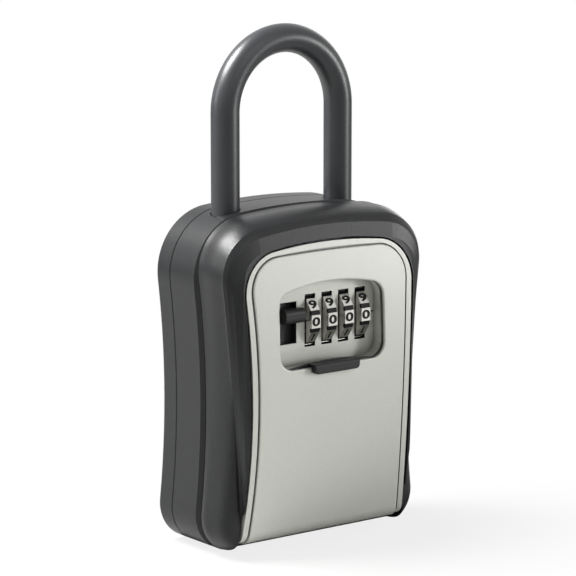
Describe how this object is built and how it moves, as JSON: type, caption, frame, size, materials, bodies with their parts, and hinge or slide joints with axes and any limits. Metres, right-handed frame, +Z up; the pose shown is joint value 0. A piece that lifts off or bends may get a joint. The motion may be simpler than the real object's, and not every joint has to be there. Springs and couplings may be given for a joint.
{
  "type": "portable key safe",
  "caption": "Portable key safe: waisted metal case with a shackle, a drop-down front door, and number dials in a shuttered window that free its latch.",
  "frame": {"origin": "on the resting plane, below the middle of the bounding box", "axes": "+Z up along the case and shackle, -Y out of the door's front, +X to the right seen from the front"},
  "size_m": [0.0868, 0.0478, 0.1812],
  "materials": {
    "case_metal": "charcoal metallic powder coat on die-cast alloy, satin",
    "door_metal": "warm silver-grey satin paint on die-cast alloy",
    "dial_plating": "satin nickel plate with dark numerals",
    "hub_brass": "machined",
    "dark_plastic": "moulded, fine matte",
    "housing_plastic": "moulded glass-filled nylon",
    "sleeve_vinyl": "satin vinyl sleeve",
    "steel": "zinc-plated steel"
  },
  "bodies": {
    "case": {"case_body": "case_metal", "back_cover": "case_metal", "cover_screw_1": "steel", "cover_screw_2": "steel", "cover_screw_3": "steel", "cover_screw_4": "steel", "shackle_housing": "housing_plastic", "shackle_bush_left": "hub_brass", "shackle_bush_right": "hub_brass", "housing_screw_1": "steel", "housing_screw_2": "steel", "keeper_plate": "steel", "keeper_screw_1": "steel", "keeper_screw_2": "steel", "hinge_pin": "steel"},
    "door": {"door_frame": "door_metal", "front_cover": "door_metal", "dial_bezel": "door_metal", "dial_carriage": "steel", "dial_shaft": "steel", "detent_spring": "steel", "door_back_plate": "steel", "door_screw_1": "steel", "door_screw_2": "steel", "door_screw_3": "steel", "door_screw_4": "steel"},
    "shutter": {"dial_shutter": "dark_plastic"},
    "number_dial_1": {"dial_1": "dial_plating", "dial_hub_1": "hub_brass"},
    "number_dial_2": {"dial_2": "dial_plating", "dial_hub_2": "hub_brass"},
    "number_dial_3": {"dial_3": "dial_plating", "dial_hub_3": "hub_brass"},
    "number_dial_4": {"dial_4": "dial_plating", "dial_hub_4": "hub_brass"},
    "latch": {"latch_plate": "steel", "release_lever": "dark_plastic", "latch_spring": "steel"},
    "code_change": {"code_change_slide": "dark_plastic"},
    "shackle": {"shackle_bar": "steel", "shackle_sleeve": "sleeve_vinyl", "shackle_stop_pin": "steel"},
    "shackle_lock": {"shackle_lock_plate": "steel", "shackle_release_button": "dark_plastic"}
  },
  "joints": [
    {"name": "door_hinge", "type": "hinge", "parent": "case", "child": "door", "pos_m": [0, -0.01127, 0.0103], "axis": [1, 0, 0], "range_deg": [0, 85]},
    {"name": "shutter_slide", "type": "hinge", "parent": "door", "child": "shutter", "pos_m": [0, 0.2912, 0.064], "axis": [-1, 0, 0], "range_deg": [0, 4.98]},
    {"name": "dial_1_turn", "type": "hinge", "parent": "door", "child": "number_dial_1", "pos_m": [-0.0053, -0.00843, 0.0809], "axis": [1, 0, 0], "continuous": true},
    {"name": "dial_2_turn", "type": "hinge", "parent": "door", "child": "number_dial_2", "pos_m": [0.00198, -0.00843, 0.0809], "axis": [1, 0, 0], "continuous": true},
    {"name": "dial_3_turn", "type": "hinge", "parent": "door", "child": "number_dial_3", "pos_m": [0.00926, -0.00843, 0.0809], "axis": [1, 0, 0], "continuous": true},
    {"name": "dial_4_turn", "type": "hinge", "parent": "door", "child": "number_dial_4", "pos_m": [0.01654, -0.00843, 0.0809], "axis": [1, 0, 0], "continuous": true},
    {"name": "latch_slide", "type": "slide", "parent": "door", "child": "latch", "axis": [0, 0, 1], "range_m": [-0.0052, 0.002], "stiffness_N_per_m": 300, "deforming": ["latch_spring"]},
    {"name": "code_change_slide_x", "type": "slide", "parent": "door", "child": "code_change", "axis": [1, 0, 0], "range_m": [0, 0.003]},
    {"name": "shackle_lift", "type": "slide", "parent": "case", "child": "shackle", "axis": [0, 0, 1], "range_m": [0, 0.0248]},
    {"name": "shackle_lock_slide", "type": "slide", "parent": "case", "child": "shackle_lock", "axis": [0, 1, 0], "range_m": [-0.0022, 0]}
  ]
}
